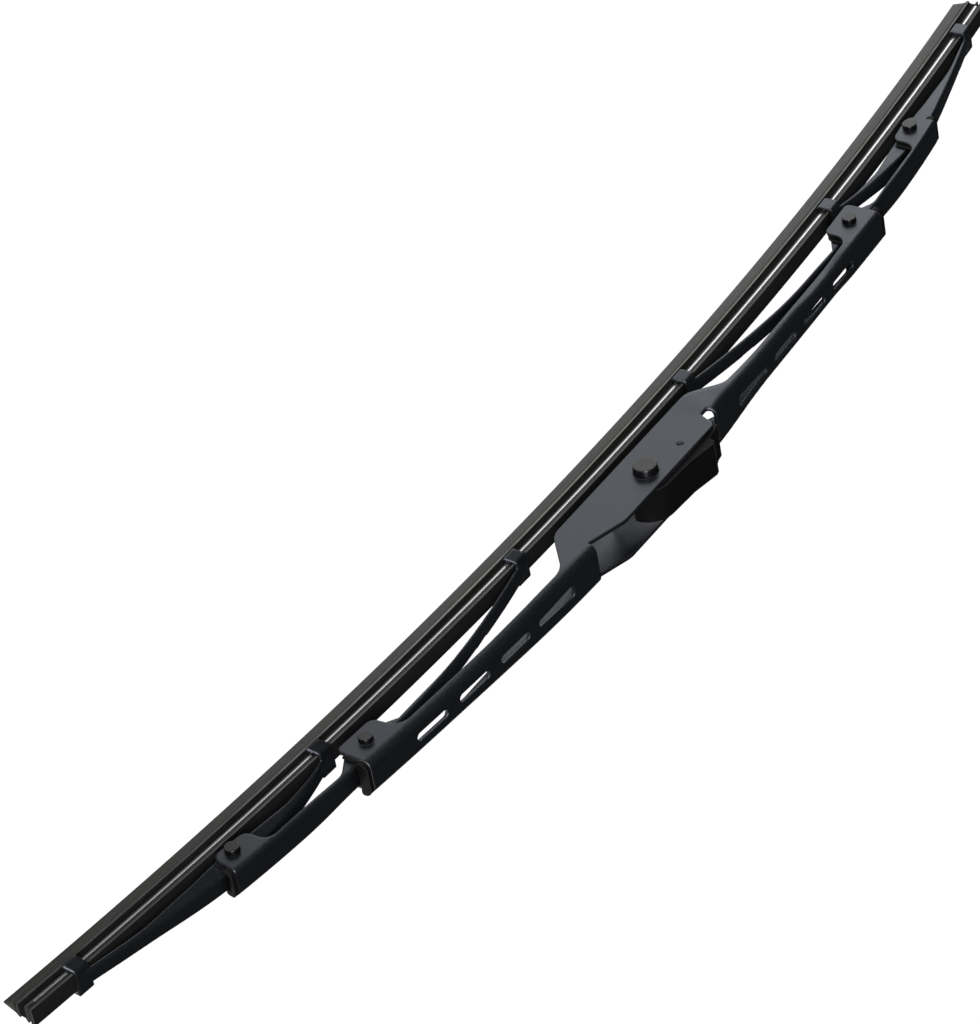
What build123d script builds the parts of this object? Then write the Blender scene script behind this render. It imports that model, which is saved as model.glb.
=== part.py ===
from build123d import *
import math
import os

os.makedirs("parts", exist_ok=True)

# Wiper blade, in millimetres. The origin lies on the centre pin's axis.
# +X runs along the blade, +Y across it, +Z from the glass to the back.
# Heights in the side sketches are counted from the wiping edge at mid-length.

# Rubber and its bow
BLADE_LENGTH = 480.0
EDGE_RADIUS = 1760.0
PIN_HEIGHT = 24.7
LIP_HALF = 0.35
WEDGE_HALF = 1.5
WEDGE_TOP = 4.35
NECK_HALF = 0.7
BODY_HALF = 2.5
BODY_LOW = 5.0
BODY_HIGH = 5.6
GROOVE_HALF = 1.6
FLANGE_HALF = 2.75
FLANGE_LOW = 8.2
SLOT_LOW = 8.65
SLOT_HIGH = 9.55
SLOT_HALF = 1.45
HEAD_HALF = 2.98
HEAD_TOP = 10.95

# Spline strips
SPLINE_END_MARGIN = 2.7
SPLINE_LENGTH = BLADE_LENGTH - 2 * SPLINE_END_MARGIN
SPLINE_OUTER = 2.9
SPLINE_INNER = 1.55
SPLINE_PLAY = 0.07

# Claws
CLAW_LENGTH = 4.7
CLAW_SHEET = 0.9
CLAW_SIDE_PLAY = 0.37
CLAW_TOP_PLAY = 0.4
CLAW_LIP_GAP = 0.2
CLAW_LIP = 0.8
CLAW_MOUTH_HALF = 2.0
CLAW_INNER_HALF = HEAD_HALF + CLAW_SIDE_PLAY
CLAW_OUTER_HALF = CLAW_INNER_HALF + CLAW_SHEET
CLAW_CEILING = HEAD_TOP + CLAW_TOP_PLAY
CLAW_TOP = CLAW_CEILING + CLAW_SHEET
CLAW_FLOOR = FLANGE_LOW - CLAW_LIP_GAP
CLAW_BOTTOM = CLAW_FLOOR - CLAW_LIP
CLAW_INNER_AT = 42.9
CLAW_MIDDLE_AT = 129.2
CLAW_OUTER_AT = 222.9

# Pivots
BRIDGE_PIVOT_X = 123.45
YOKE_PIVOT_X = 172.3
YOKE_PIVOT_H = 7.9
BRIDGE_RIVET_RADIUS = 1.5
YOKE_RIVET_RADIUS = 1.3
RIVET_HEAD_RADIUS = 2.15
RIVET_FACE_RADIUS = 2.1
RIVET_HEAD_HEIGHT = 1.6
PIN_RADIUS = 2.5
PIN_HEAD_RADIUS = 3.75
PIN_FACE_RADIUS = 3.4
PIN_HEAD_HEIGHT = 2.36
FIXED_PLAY = 0.02
RUNNING_PLAY = 0.05

# Primary bridge
PRIMARY_SHEET = 1.1
PRIMARY_CENTRE_HALF = 6.66
PRIMARY_END_HALF = 5.45
PRIMARY_NECK_HALF = 4.8
PRIMARY_FOLD = 2.5
PRIMARY_END_X = 130.7
PRIMARY_END_H = 22.4
BRIDGE_PIVOT_H = PRIMARY_END_H - 6.25
EAR_TOP = PRIMARY_END_H + 8.7
EAR_BOTTOM = PRIMARY_END_H - 6.2
EAR_HALF_LENGTH = 33.9
WEB_START_LEFT = 33.0
WEB_START_LEFT_H = PRIMARY_END_H + 7.2
WEB_START_RIGHT = 31.0
WEB_START_RIGHT_H = PRIMARY_END_H + 5.75
CROWN_X = 84.0
CROWN_LEFT_H = PRIMARY_END_H + 4.55
CROWN_RIGHT_H = PRIMARY_END_H + 2.8
END_EAR_X = 115.7
END_EAR_BOTTOM = PRIMARY_END_H - 11.25
END_EAR_HEEL = PRIMARY_END_H - 9.95
END_EAR_ROOT_LEFT = PRIMARY_END_H - 1.1
END_EAR_ROOT_RIGHT = PRIMARY_END_H - 2.3
FLANGE_TRIM_LOW = END_EAR_BOTTOM - 5.0
SLOT_LENGTH = 12.6
SLOT_WIDTH = 2.7
EAR_HOLE_RADIUS = 1.0
EAR_HOLE_X = -13.9
EAR_HOLE_H = PIN_HEIGHT + 2.4

# Secondary bridges
SECONDARY_SHEET = 0.95
SECONDARY_ARM_HALF = 2.3
SECONDARY_PIVOT_HALF = 3.65
SECONDARY_EAR_HALF = 4.29
SECONDARY_FOLD = 1.3
SECONDARY_FLANGE = 1.36
SECONDARY_TIP_X = 40.9
SECONDARY_TIP_H = 11.69
SECONDARY_CREST_X = 108.0
SECONDARY_CREST_H = BRIDGE_PIVOT_H + 2.85
SECONDARY_END_X = 178.4
SECONDARY_END_H = 13.06

# End yokes
YOKE_SHEET = 0.85
YOKE_ARM_HALF = 2.2
YOKE_PIVOT_HALF = 2.65
YOKE_FOLD = 1.0
YOKE_CREST_X = 164.0
YOKE_CREST_H = 11.9
YOKE_INNER_BOW = 131.0
YOKE_SHOULDER_BOW = 86.0
YOKE_SHOULDER_X = 186.0
YOKE_OUTER_BOW = 735.0
YOKE_INNER_TIP_X = 128.0
YOKE_OUTER_TIP_X = 226.0

# Liners
LINER_PLAY = 0.1
LINER_FIT = 0.03
BRIDGE_LINER_X = 114.6
BRIDGE_LINER_LOW = BRIDGE_PIVOT_H - 2.85
YOKE_LINER_X = 164.1
YOKE_LINER_TOP_IN = 14.05
YOKE_LINER_TOP_OUT = 11.9
COLLAR = 1.5
COLLAR_GAP = 0.1
COLLAR_DEPTH = 3.4
SWING_ROOM = 0.8

# Hook adapter
ADAPTER_SIDE_PLAY = 0.2
HUB_RADIUS = 7.8

SIDE = Plane(origin=(0, 0, -PIN_HEIGHT), x_dir=(1, 0, 0), z_dir=(0, -1, 0))
BOW_AXIS = Axis((0, 0, -EDGE_RADIUS - PIN_HEIGHT), (0, -1, 0))
REACH = 60.0
BEYOND = SIDE.offset(-REACH)
BELOW = Plane.XY.offset(-REACH)


def bow_plane(arc_length):
    """Cross-section plane of the bowed rubber, local Y pointing to the back."""
    turn = arc_length / EDGE_RADIUS
    return Plane(
        origin=(EDGE_RADIUS * math.sin(turn), 0, EDGE_RADIUS * (math.cos(turn) - 1) - PIN_HEIGHT),
        x_dir=(0, 1, 0),
        z_dir=(math.cos(turn), 0, -math.sin(turn)),
    )


def pivot_axis(x, height):
    """Axis across the blade through one pivot."""
    return Axis((x, 0, height - PIN_HEIGHT), (0, 1, 0))


def primary_crest(x):
    """Height of the primary bridge's web above the wiping edge, near enough to find its folds."""
    crown = CROWN_LEFT_H if x > 0 else CROWN_RIGHT_H
    start = WEB_START_LEFT if x > 0 else WEB_START_RIGHT
    start_h = WEB_START_LEFT_H if x > 0 else WEB_START_RIGHT_H
    stations = [start, CROWN_X, PRIMARY_END_X]
    heights = [start_h, crown, PRIMARY_END_H]
    total = 0
    for i in range(3):
        share = heights[i]
        for j in range(3):
            if i != j:
                share *= (abs(x) - stations[j]) / (stations[i] - stations[j])
        total += share
    return total


def secondary_crest(x):
    """Height of a secondary bridge's web above the wiping edge."""
    if x < SECONDARY_CREST_X:
        share = (x - SECONDARY_CREST_X) / (SECONDARY_TIP_X - SECONDARY_CREST_X)
        return SECONDARY_CREST_H - share**2 * (SECONDARY_CREST_H - SECONDARY_TIP_H)
    share = (x - SECONDARY_CREST_X) / (SECONDARY_END_X - SECONDARY_CREST_X)
    return SECONDARY_CREST_H - share**2 * (SECONDARY_CREST_H - SECONDARY_END_H)


def yoke_crest(x):
    """Height of an end yoke's web above the wiping edge."""
    if x < YOKE_CREST_X:
        return YOKE_CREST_H - (x - YOKE_CREST_X) ** 2 / (2 * YOKE_INNER_BOW)
    if x < YOKE_SHOULDER_X:
        return YOKE_CREST_H - (x - YOKE_CREST_X) ** 2 / (2 * YOKE_SHOULDER_BOW)
    run = YOKE_SHOULDER_X - YOKE_CREST_X
    past = x - YOKE_SHOULDER_X
    shoulder = YOKE_CREST_H - run**2 / (2 * YOKE_SHOULDER_BOW)
    return shoulder - past * run / YOKE_SHOULDER_BOW - past**2 / (2 * YOKE_OUTER_BOW)


# Wiper rubber: one extruded section, bowed along its length
rubber_half = [
    (LIP_HALF, 0),
    (WEDGE_HALF, WEDGE_TOP - 0.3),
    (WEDGE_HALF, WEDGE_TOP),
    (NECK_HALF, WEDGE_TOP + 0.25),
    (NECK_HALF, BODY_LOW - 0.1),
    (BODY_HALF, BODY_LOW),
    (BODY_HALF, BODY_HIGH),
    (GROOVE_HALF, BODY_HIGH + 0.4),
    (GROOVE_HALF, FLANGE_LOW),
    (FLANGE_HALF, FLANGE_LOW),
    (FLANGE_HALF, SLOT_LOW),
    (SLOT_HALF, SLOT_LOW),
    (SLOT_HALF, SLOT_HIGH),
    (HEAD_HALF, SLOT_HIGH),
    (HEAD_HALF, HEAD_TOP),
]
rubber_rounds = [0.05, 0, 0, 0, 0, 0.12, 0.12, 0, 0.15, 0.1, 0.05, 0, 0, 0.12, 0.4]
with BuildPart() as wiper_rubber:
    with BuildSketch(bow_plane(BLADE_LENGTH / 2)):
        with BuildLine():
            FilletPolyline(
                *rubber_half,
                *[(-y, h) for y, h in reversed(rubber_half)],
                radius=rubber_rounds + rubber_rounds[::-1],
                close=True,
            )
        make_face()
    revolve(axis=BOW_AXIS, revolution_arc=math.degrees(BLADE_LENGTH / EDGE_RADIUS))
wiper_rubber.part.label = "wiper_rubber"
export_step(wiper_rubber.part, "parts/wiper_rubber.step")

# Spline strips: one in each side slot of the rubber
spline_height = SLOT_HIGH - SLOT_LOW - 2 * SPLINE_PLAY
spline_middle = (SLOT_HIGH + SLOT_LOW) / 2
with BuildPart() as spline_near:
    with BuildSketch(bow_plane(SPLINE_LENGTH / 2)):
        with Locations((-(SPLINE_INNER + SPLINE_OUTER) / 2, spline_middle)):
            RectangleRounded(SPLINE_OUTER - SPLINE_INNER, spline_height, 0.15)
    revolve(axis=BOW_AXIS, revolution_arc=math.degrees(SPLINE_LENGTH / EDGE_RADIUS))
spline_near.part.label = "spline_near"
export_step(spline_near.part, "parts/spline_near.step")

with BuildPart() as spline_far:
    with BuildSketch(bow_plane(SPLINE_LENGTH / 2)):
        with Locations(((SPLINE_INNER + SPLINE_OUTER) / 2, spline_middle)):
            RectangleRounded(SPLINE_OUTER - SPLINE_INNER, spline_height, 0.15)
    revolve(axis=BOW_AXIS, revolution_arc=math.degrees(SPLINE_LENGTH / EDGE_RADIUS))
spline_far.part.label = "spline_far"
export_step(spline_far.part, "parts/spline_far.step")

# Primary bridge: the space inside its folded channel
centre_inside = PRIMARY_CENTRE_HALF - PRIMARY_SHEET
end_inside = PRIMARY_END_HALF - PRIMARY_SHEET
neck_inside = PRIMARY_NECK_HALF - PRIMARY_SHEET
with BuildPart() as primary_inside:
    with BuildSketch(BEYOND):
        with BuildLine():
            ThreePointArc(
                (WEB_START_LEFT, WEB_START_LEFT_H - PRIMARY_SHEET),
                (CROWN_X, CROWN_LEFT_H - PRIMARY_SHEET),
                (PRIMARY_END_X, PRIMARY_END_H - PRIMARY_SHEET),
            )
            Polyline(
                (PRIMARY_END_X, PRIMARY_END_H - PRIMARY_SHEET),
                (PRIMARY_END_X + 10, PRIMARY_END_H - PRIMARY_SHEET - 1.1),
                (PRIMARY_END_X + 10, 0),
                (-PRIMARY_END_X - 10, 0),
                (-PRIMARY_END_X - 10, PRIMARY_END_H - PRIMARY_SHEET - 0.6),
                (-PRIMARY_END_X, PRIMARY_END_H - PRIMARY_SHEET),
            )
            ThreePointArc(
                (-PRIMARY_END_X, PRIMARY_END_H - PRIMARY_SHEET),
                (-CROWN_X, CROWN_RIGHT_H - PRIMARY_SHEET),
                (-WEB_START_RIGHT, WEB_START_RIGHT_H - PRIMARY_SHEET),
            )
            Polyline(
                (-WEB_START_RIGHT, WEB_START_RIGHT_H - PRIMARY_SHEET),
                (-WEB_START_RIGHT, 50),
                (WEB_START_LEFT, 50),
                (WEB_START_LEFT, WEB_START_LEFT_H - PRIMARY_SHEET),
            )
        make_face()
    extrude(amount=2 * REACH)
    with BuildSketch(BELOW):
        with BuildLine():
            Line((-150, end_inside), (-114, end_inside))
            Bezier((-114, end_inside), (-107, end_inside), (-106, neck_inside), (-98, neck_inside))
            Line((-98, neck_inside), (-64, neck_inside))
            Bezier((-64, neck_inside), (-46, neck_inside), (-42, centre_inside), (-30, centre_inside))
            Line((-30, centre_inside), (42, centre_inside))
            Bezier((42, centre_inside), (66, centre_inside), (72, end_inside), (110, end_inside))
            Polyline((110, end_inside), (150, end_inside), (150, 0))
            Line((-150, 0), (-150, end_inside))
            mirror(about=Plane.XZ)
        make_face()
    extrude(amount=2 * REACH, mode=Mode.INTERSECT)
    inside_edges = primary_inside.edges().filter_by(
        lambda e: abs(e.center().Y) > 3
        and e.bounding_box().size.X > 5
        and abs(e.center().Z + PIN_HEIGHT + PRIMARY_SHEET - primary_crest(e.center().X)) < 0.6
        and abs(e.center().X) < PRIMARY_END_X + 2
    )
    fillet(inside_edges, PRIMARY_FOLD - PRIMARY_SHEET)

# Primary bridge: folded sheet with ears at the centre and at both ends
with BuildPart() as primary_bridge:
    with BuildSketch(BEYOND):
        with BuildLine():
            ThreePointArc(
                (WEB_START_LEFT, WEB_START_LEFT_H),
                (CROWN_X, CROWN_LEFT_H),
                (PRIMARY_END_X, PRIMARY_END_H),
            )
            FilletPolyline(
                (PRIMARY_END_X, PRIMARY_END_H),
                (PRIMARY_END_X - 0.5, END_EAR_BOTTOM),
                (END_EAR_X, END_EAR_HEEL),
                (END_EAR_X, END_EAR_ROOT_LEFT),
                (97, PRIMARY_END_H + 0.4),
                (65, PRIMARY_END_H - 0.2),
                (48, PRIMARY_END_H - 1.8),
                (EAR_HALF_LENGTH, EAR_BOTTOM),
                (-EAR_HALF_LENGTH, EAR_BOTTOM),
                (-43.2, PRIMARY_END_H - 0.6),
                (-62, PRIMARY_END_H - 1.2),
                (-97, PRIMARY_END_H - 1.4),
                (-END_EAR_X, END_EAR_ROOT_RIGHT),
                (-END_EAR_X, END_EAR_HEEL),
                (-PRIMARY_END_X + 0.5, END_EAR_BOTTOM),
                (-PRIMARY_END_X, PRIMARY_END_H),
                radius=[1.5, 2.8, 5, 60, 40, 20, 7, 7, 6, 60, 60, 4, 1.9, 1.5],
            )
            ThreePointArc(
                (-PRIMARY_END_X, PRIMARY_END_H),
                (-CROWN_X, CROWN_RIGHT_H),
                (-WEB_START_RIGHT, WEB_START_RIGHT_H),
            )
            FilletPolyline(
                (-WEB_START_RIGHT, WEB_START_RIGHT_H),
                (-30.6, PRIMARY_END_H + 2.9),
                (-27.4, PRIMARY_END_H + 2.9),
                (-25.2, EAR_TOP),
                (20.5, EAR_TOP),
                (WEB_START_LEFT, PRIMARY_END_H + 4.5),
                (WEB_START_LEFT, WEB_START_LEFT_H),
                radius=[0.8, 0.8, 1.6, 8, 0],
            )
        make_face()
    extrude(amount=2 * REACH)
    with BuildSketch(BELOW):
        with BuildLine():
            Line((-150, PRIMARY_END_HALF), (-114, PRIMARY_END_HALF))
            Bezier(
                (-114, PRIMARY_END_HALF),
                (-107, PRIMARY_END_HALF),
                (-106, PRIMARY_NECK_HALF),
                (-98, PRIMARY_NECK_HALF),
            )
            Line((-98, PRIMARY_NECK_HALF), (-64, PRIMARY_NECK_HALF))
            Bezier(
                (-64, PRIMARY_NECK_HALF),
                (-46, PRIMARY_NECK_HALF),
                (-42, PRIMARY_CENTRE_HALF),
                (-30, PRIMARY_CENTRE_HALF),
            )
            Line((-30, PRIMARY_CENTRE_HALF), (42, PRIMARY_CENTRE_HALF))
            Bezier(
                (42, PRIMARY_CENTRE_HALF),
                (66, PRIMARY_CENTRE_HALF),
                (72, PRIMARY_END_HALF),
                (110, PRIMARY_END_HALF),
            )
            Polyline((110, PRIMARY_END_HALF), (150, PRIMARY_END_HALF), (150, 0))
            Line((-150, 0), (-150, PRIMARY_END_HALF))
            mirror(about=Plane.XZ)
        make_face()
    extrude(amount=2 * REACH, mode=Mode.INTERSECT)
    web_edges = primary_bridge.edges().filter_by(
        lambda e: abs(e.center().Y) > 3
        and e.bounding_box().size.X > 5
        and abs(e.center().Z + PIN_HEIGHT - primary_crest(e.center().X)) < 0.6
    )
    fillet(web_edges, PRIMARY_FOLD)
    add(primary_inside.part, mode=Mode.SUBTRACT)
    # The near flange is shallower than the far one
    with BuildSketch(SIDE):
        with BuildLine():
            FilletPolyline(
                (EAR_HALF_LENGTH - 12, EAR_BOTTOM),
                (EAR_HALF_LENGTH, EAR_BOTTOM),
                (45.3, PRIMARY_END_H + 4.05),
                (62, PRIMARY_END_H + 3.35),
                (79, PRIMARY_END_H + 2.2),
                (97, PRIMARY_END_H + 0.55),
                (END_EAR_X, END_EAR_ROOT_LEFT),
                (END_EAR_X, FLANGE_TRIM_LOW),
                (EAR_HALF_LENGTH - 12, FLANGE_TRIM_LOW),
                radius=[0, 7, 8, 100, 100, 100, 5, 0, 0],
                close=True,
            )
        make_face()
        with BuildLine():
            FilletPolyline(
                (-EAR_HALF_LENGTH + 12, EAR_BOTTOM),
                (-EAR_HALF_LENGTH, EAR_BOTTOM),
                (-43.2, PRIMARY_END_H + 0.8),
                (-62, PRIMARY_END_H + 0.3),
                (-97, PRIMARY_END_H - 1.2),
                (-END_EAR_X, END_EAR_ROOT_RIGHT),
                (-END_EAR_X, FLANGE_TRIM_LOW),
                (-EAR_HALF_LENGTH + 12, FLANGE_TRIM_LOW),
                radius=[0, 7, 6, 100, 200, 4, 0, 0],
                close=True,
            )
        make_face()
    extrude(amount=REACH, mode=Mode.SUBTRACT)
    with BuildSketch(Plane.XY.offset(REACH)):
        with Locations((106.6, 0), (89.0, 0), (71.3, 0), (-105.9, 0), (-88.3, 0), (-70.6, 0)):
            SlotOverall(SLOT_LENGTH, SLOT_WIDTH)
        with BuildLine():
            FilletPolyline(
                (44.6, 2),
                (60.8, 1),
                (60.8, -1),
                (44.6, -2),
                radius=[1.3, 0.9, 0.9, 1.3],
                close=True,
            )
        make_face()
        with BuildLine():
            FilletPolyline(
                (-43.2, 2),
                (-59.3, 1),
                (-59.3, -1),
                (-43.2, -2),
                radius=[1.3, 0.9, 0.9, 1.3],
                close=True,
            )
        make_face()
    extrude(amount=-3 * REACH, mode=Mode.SUBTRACT)
    with BuildSketch(BEYOND):
        with Locations((0, PIN_HEIGHT)):
            Circle(PIN_RADIUS + FIXED_PLAY)
        with Locations((BRIDGE_PIVOT_X, BRIDGE_PIVOT_H), (-BRIDGE_PIVOT_X, BRIDGE_PIVOT_H)):
            Circle(BRIDGE_RIVET_RADIUS + FIXED_PLAY)
    extrude(amount=2 * REACH, mode=Mode.SUBTRACT)
    with BuildSketch(SIDE):
        with Locations((EAR_HOLE_X, EAR_HOLE_H)):
            Circle(EAR_HOLE_RADIUS)
    extrude(amount=REACH, mode=Mode.SUBTRACT)
primary_bridge.part.label = "primary_bridge"
export_step(primary_bridge.part, "parts/primary_bridge.step")

# Secondary bridge: the space inside its folded channel
arm_inside = SECONDARY_ARM_HALF - SECONDARY_SHEET
pivot_inside = SECONDARY_PIVOT_HALF - SECONDARY_SHEET
ear_inside = SECONDARY_EAR_HALF - SECONDARY_SHEET
with BuildPart() as secondary_inside:
    with BuildSketch(BEYOND):
        with BuildLine():
            ThreePointArc(
                (36, secondary_crest(36) - SECONDARY_SHEET),
                (75, secondary_crest(75) - SECONDARY_SHEET),
                (SECONDARY_CREST_X, SECONDARY_CREST_H - SECONDARY_SHEET),
            )
            ThreePointArc(
                (SECONDARY_CREST_X, SECONDARY_CREST_H - SECONDARY_SHEET),
                (145, secondary_crest(145) - SECONDARY_SHEET),
                (184, secondary_crest(184) - SECONDARY_SHEET),
            )
            Polyline(
                (184, secondary_crest(184) - SECONDARY_SHEET),
                (184, -20),
                (36, -20),
                (36, secondary_crest(36) - SECONDARY_SHEET),
            )
        make_face()
    extrude(amount=2 * REACH)
    with BuildSketch(BELOW):
        with BuildLine():
            Line((30, arm_inside), (80, arm_inside))
            Bezier((80, arm_inside), (95, arm_inside), (97, pivot_inside), (112, pivot_inside))
            Line((112, pivot_inside), (134, pivot_inside))
            Bezier((134, pivot_inside), (142, pivot_inside), (143, ear_inside), (154, ear_inside))
            Polyline((154, ear_inside), (190, ear_inside), (190, 0))
            Line((30, 0), (30, arm_inside))
            mirror(about=Plane.XZ)
        make_face()
    extrude(amount=2 * REACH, mode=Mode.INTERSECT)

# Secondary bridge: folded sheet, outer ears round the yoke, one claw at the inner end
with BuildPart() as secondary_bridge_left:
    with BuildSketch(BEYOND):
        with BuildLine():
            ThreePointArc(
                (SECONDARY_TIP_X, secondary_crest(SECONDARY_TIP_X)),
                (75, secondary_crest(75)),
                (SECONDARY_CREST_X, SECONDARY_CREST_H),
            )
            ThreePointArc(
                (SECONDARY_CREST_X, SECONDARY_CREST_H),
                (145, secondary_crest(145)),
                (SECONDARY_END_X, secondary_crest(SECONDARY_END_X)),
            )
            FilletPolyline(
                (SECONDARY_END_X, secondary_crest(SECONDARY_END_X)),
                (176.8, 4.4),
                (165.1, 6.3),
                (165.1, secondary_crest(165.1) - 1.1),
                (150, secondary_crest(150) - SECONDARY_FLANGE),
                (136, secondary_crest(136) - SECONDARY_FLANGE),
                (129.6, BRIDGE_PIVOT_H - 3.05),
                (117.3, BRIDGE_PIVOT_H - 3.05),
                (111, secondary_crest(111) - SECONDARY_FLANGE),
                radius=[2.4, 2.8, 3.6, 40, 5, 2.5, 2.5],
            )
            ThreePointArc(
                (111, secondary_crest(111) - SECONDARY_FLANGE),
                (75, secondary_crest(75) - SECONDARY_FLANGE),
                (SECONDARY_TIP_X, SECONDARY_TIP_H - SECONDARY_FLANGE),
            )
            Line((SECONDARY_TIP_X, SECONDARY_TIP_H - SECONDARY_FLANGE), (SECONDARY_TIP_X, SECONDARY_TIP_H))
        make_face()
    extrude(amount=2 * REACH)
    with BuildSketch(BELOW):
        with BuildLine():
            Line((30, SECONDARY_ARM_HALF), (80, SECONDARY_ARM_HALF))
            Bezier(
                (80, SECONDARY_ARM_HALF),
                (95, SECONDARY_ARM_HALF),
                (97, SECONDARY_PIVOT_HALF),
                (112, SECONDARY_PIVOT_HALF),
            )
            Line((112, SECONDARY_PIVOT_HALF), (134, SECONDARY_PIVOT_HALF))
            Bezier(
                (134, SECONDARY_PIVOT_HALF),
                (142, SECONDARY_PIVOT_HALF),
                (143, SECONDARY_EAR_HALF),
                (154, SECONDARY_EAR_HALF),
            )
            Polyline((154, SECONDARY_EAR_HALF), (190, SECONDARY_EAR_HALF), (190, 0))
            Line((30, 0), (30, SECONDARY_ARM_HALF))
            mirror(about=Plane.XZ)
        make_face()
    extrude(amount=2 * REACH, mode=Mode.INTERSECT)
    secondary_folds = secondary_bridge_left.edges().filter_by(
        lambda e: abs(e.center().Y) > 1
        and e.bounding_box().size.X > 3
        and abs(e.center().Z + PIN_HEIGHT - secondary_crest(e.center().X)) < 0.5
    )
    fillet(secondary_folds, SECONDARY_FOLD)
    add(secondary_inside.part, mode=Mode.SUBTRACT)
    with BuildSketch(bow_plane(CLAW_INNER_AT - CLAW_LENGTH / 2)):
        with Locations((0, (CLAW_TOP + CLAW_BOTTOM) / 2)):
            RectangleRounded(2 * CLAW_OUTER_HALF, CLAW_TOP - CLAW_BOTTOM, CLAW_SHEET)
    extrude(amount=CLAW_LENGTH)
    with BuildSketch(bow_plane(CLAW_INNER_AT - CLAW_LENGTH)):
        with Locations((0, (CLAW_CEILING + CLAW_FLOOR) / 2)):
            Rectangle(2 * CLAW_INNER_HALF, CLAW_CEILING - CLAW_FLOOR)
        with Locations((0, CLAW_FLOOR - 1)):
            Rectangle(2 * CLAW_MOUTH_HALF, 3)
    extrude(amount=2 * CLAW_LENGTH, mode=Mode.SUBTRACT)
    with BuildSketch(BEYOND):
        with Locations((BRIDGE_PIVOT_X, BRIDGE_PIVOT_H)):
            Circle(BRIDGE_RIVET_RADIUS + RUNNING_PLAY)
        with Locations((YOKE_PIVOT_X, YOKE_PIVOT_H)):
            Circle(YOKE_RIVET_RADIUS + FIXED_PLAY)
    extrude(amount=2 * REACH, mode=Mode.SUBTRACT)
secondary_bridge_left.part.label = "secondary_bridge_left"
export_step(secondary_bridge_left.part, "parts/secondary_bridge_left.step")

with BuildPart() as secondary_bridge_right:
    mirror(secondary_bridge_left.part, about=Plane.YZ)
secondary_bridge_right.part.label = "secondary_bridge_right"
export_step(secondary_bridge_right.part, "parts/secondary_bridge_right.step")

# End yoke: the space inside its folded channel
yoke_arm_inside = YOKE_ARM_HALF - YOKE_SHEET
yoke_pivot_inside = YOKE_PIVOT_HALF - YOKE_SHEET
with BuildPart() as yoke_inside:
    with BuildSketch(BEYOND):
        with BuildLine():
            ThreePointArc(
                (126, yoke_crest(126) - YOKE_SHEET),
                (146, yoke_crest(146) - YOKE_SHEET),
                (YOKE_CREST_X, YOKE_CREST_H - YOKE_SHEET),
            )
            ThreePointArc(
                (YOKE_CREST_X, YOKE_CREST_H - YOKE_SHEET),
                (175, yoke_crest(175) - YOKE_SHEET),
                (YOKE_SHOULDER_X, yoke_crest(YOKE_SHOULDER_X) - YOKE_SHEET),
            )
            ThreePointArc(
                (YOKE_SHOULDER_X, yoke_crest(YOKE_SHOULDER_X) - YOKE_SHEET),
                (206, yoke_crest(206) - YOKE_SHEET),
                (228, yoke_crest(228) - YOKE_SHEET),
            )
            Polyline(
                (228, yoke_crest(228) - YOKE_SHEET),
                (228, -30),
                (126, -30),
                (126, yoke_crest(126) - YOKE_SHEET),
            )
        make_face()
    extrude(amount=2 * REACH)
    with BuildSketch(BELOW):
        with BuildLine():
            Line((120, yoke_arm_inside), (140, yoke_arm_inside))
            Bezier(
                (140, yoke_arm_inside),
                (148, yoke_arm_inside),
                (150, yoke_pivot_inside),
                (158, yoke_pivot_inside),
            )
            Line((158, yoke_pivot_inside), (186, yoke_pivot_inside))
            Bezier(
                (186, yoke_pivot_inside),
                (194, yoke_pivot_inside),
                (198, yoke_arm_inside),
                (206, yoke_arm_inside),
            )
            Polyline((206, yoke_arm_inside), (240, yoke_arm_inside), (240, 0))
            Line((120, 0), (120, yoke_arm_inside))
            mirror(about=Plane.XZ)
        make_face()
    extrude(amount=2 * REACH, mode=Mode.INTERSECT)

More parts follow.
